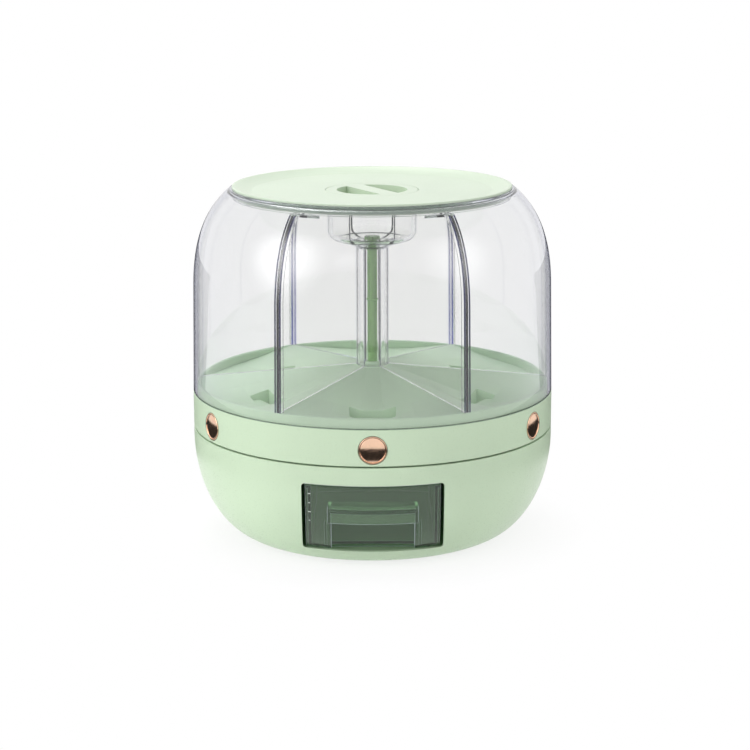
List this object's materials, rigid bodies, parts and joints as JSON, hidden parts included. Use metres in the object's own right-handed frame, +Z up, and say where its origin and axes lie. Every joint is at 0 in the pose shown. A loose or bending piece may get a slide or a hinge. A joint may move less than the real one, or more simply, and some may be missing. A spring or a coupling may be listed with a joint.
{
  "type": "rotating dry food dispenser",
  "caption": "Round turntable dispenser for dry food: divided clear dome, push-button gates and a measuring drawer in a bowl-shaped base.",
  "frame": {"origin": "on the resting plane under the turning axis, at the centre of the four feet", "axes": "+Z up along the turning axis; the drawer faces -Y; +X to the right as seen from the front"},
  "size_m": [0.3202, 0.3218, 0.3107],
  "materials": {
    "mint_plastic": "satin",
    "pale_mint_plastic": "satin",
    "tray_green_plastic": "satin",
    "inner_green_plastic": "matt",
    "rod_green_plastic": "satin",
    "clear_plastic": "polished",
    "smoky_clear_plastic": "polished",
    "white_plastic": "matt",
    "copper_coated_plastic": "metallic coat",
    "zinc_steel": "zinc plated",
    "spring_steel": "bright",
    "ball_steel": "polished",
    "foot_rubber": "matt",
    "seal_silicone": "matt"
  },
  "bodies": {
    "base": {"base_shell": "mint_plastic", "rubber_feet": "foot_rubber", "drawer_housing": "inner_green_plastic", "housing_screws": "zinc_steel", "turntable_deck": "inner_green_plastic", "deck_screws": "zinc_steel", "drop_chute": "white_plastic", "spindle": "white_plastic", "spindle_screws": "zinc_steel", "axle_washer": "zinc_steel", "axle_screw": "zinc_steel"},
    "ball_race": {"ball_cage": "white_plastic", "race_balls": "ball_steel"},
    "turntable": {"valve_plate": "inner_green_plastic", "hub_bush": "white_plastic", "collar_ring": "mint_plastic", "carousel_screws": "zinc_steel", "hopper_tray": "tray_green_plastic", "dome_seal": "seal_silicone", "clear_dome": "clear_plastic", "compartment_divider": "clear_plastic", "tie_rod": "rod_green_plastic", "rod_screw": "zinc_steel", "tie_knob": "rod_green_plastic", "return_spring_1": "spring_steel", "return_spring_2": "spring_steel", "return_spring_3": "spring_steel", "return_spring_4": "spring_steel", "return_spring_5": "spring_steel", "return_spring_6": "spring_steel"},
    "drawer": {"drawer": "smoky_clear_plastic"},
    "lid": {"lid": "pale_mint_plastic", "lid_seal": "seal_silicone"},
    "cap": {"lid_cap": "pale_mint_plastic", "cap_seal": "seal_silicone"},
    "button_1": {"button_cap_1": "copper_coated_plastic", "gate_1": "white_plastic"},
    "button_2": {"button_cap_2": "copper_coated_plastic", "gate_2": "white_plastic"},
    "button_3": {"button_cap_3": "copper_coated_plastic", "gate_3": "white_plastic"},
    "button_4": {"button_cap_4": "copper_coated_plastic", "gate_4": "white_plastic"},
    "button_5": {"button_cap_5": "copper_coated_plastic", "gate_5": "white_plastic"},
    "button_6": {"button_cap_6": "copper_coated_plastic", "gate_6": "white_plastic"}
  },
  "joints": [
    {"name": "turntable_spin", "type": "hinge", "parent": "base", "child": "turntable", "pos_m": [0, 0, 0.095], "axis": [0, 0, 1], "continuous": true},
    {"name": "race_roll", "type": "hinge", "parent": "base", "child": "ball_race", "pos_m": [0, 0, 0.092], "axis": [0, 0, 1], "continuous": true},
    {"name": "drawer_slide", "type": "slide", "parent": "base", "child": "drawer", "axis": [0, -1, 0], "range_m": [0, 0.12]},
    {"name": "lid_lift", "type": "slide", "parent": "turntable", "child": "lid", "axis": [0, 0, 1], "range_m": [0, 0.12]},
    {"name": "cap_turn", "type": "hinge", "parent": "lid", "child": "cap", "pos_m": [0, 0, 0.3045], "axis": [0, 0, 1], "range_deg": [0, 45]},
    {"name": "button_1_press", "type": "slide", "parent": "turntable", "child": "button_1", "axis": [0, 1, 0], "range_m": [0, 0.008], "stiffness_N_per_m": 200, "springref_m": -0.004, "deforming": ["return_spring_1"]},
    {"name": "button_2_press", "type": "slide", "parent": "turntable", "child": "button_2", "axis": [-0.866, 0.5, 0], "range_m": [0, 0.008], "stiffness_N_per_m": 200, "springref_m": -0.004, "deforming": ["return_spring_2"]},
    {"name": "button_3_press", "type": "slide", "parent": "turntable", "child": "button_3", "axis": [-0.866, -0.5, 0], "range_m": [0, 0.008], "stiffness_N_per_m": 200, "springref_m": -0.004, "deforming": ["return_spring_3"]},
    {"name": "button_4_press", "type": "slide", "parent": "turntable", "child": "button_4", "axis": [0, -1, 0], "range_m": [0, 0.008], "stiffness_N_per_m": 200, "springref_m": -0.004, "deforming": ["return_spring_4"]},
    {"name": "button_5_press", "type": "slide", "parent": "turntable", "child": "button_5", "axis": [0.866, -0.5, 0], "range_m": [0, 0.008], "stiffness_N_per_m": 200, "springref_m": -0.004, "deforming": ["return_spring_5"]},
    {"name": "button_6_press", "type": "slide", "parent": "turntable", "child": "button_6", "axis": [0.866, 0.5, 0], "range_m": [0, 0.008], "stiffness_N_per_m": 200, "springref_m": -0.004, "deforming": ["return_spring_6"]}
  ],
  "couplings": [
    {"joint": "race_roll", "follows": "turntable_spin", "ratio": 0.5}
  ]
}
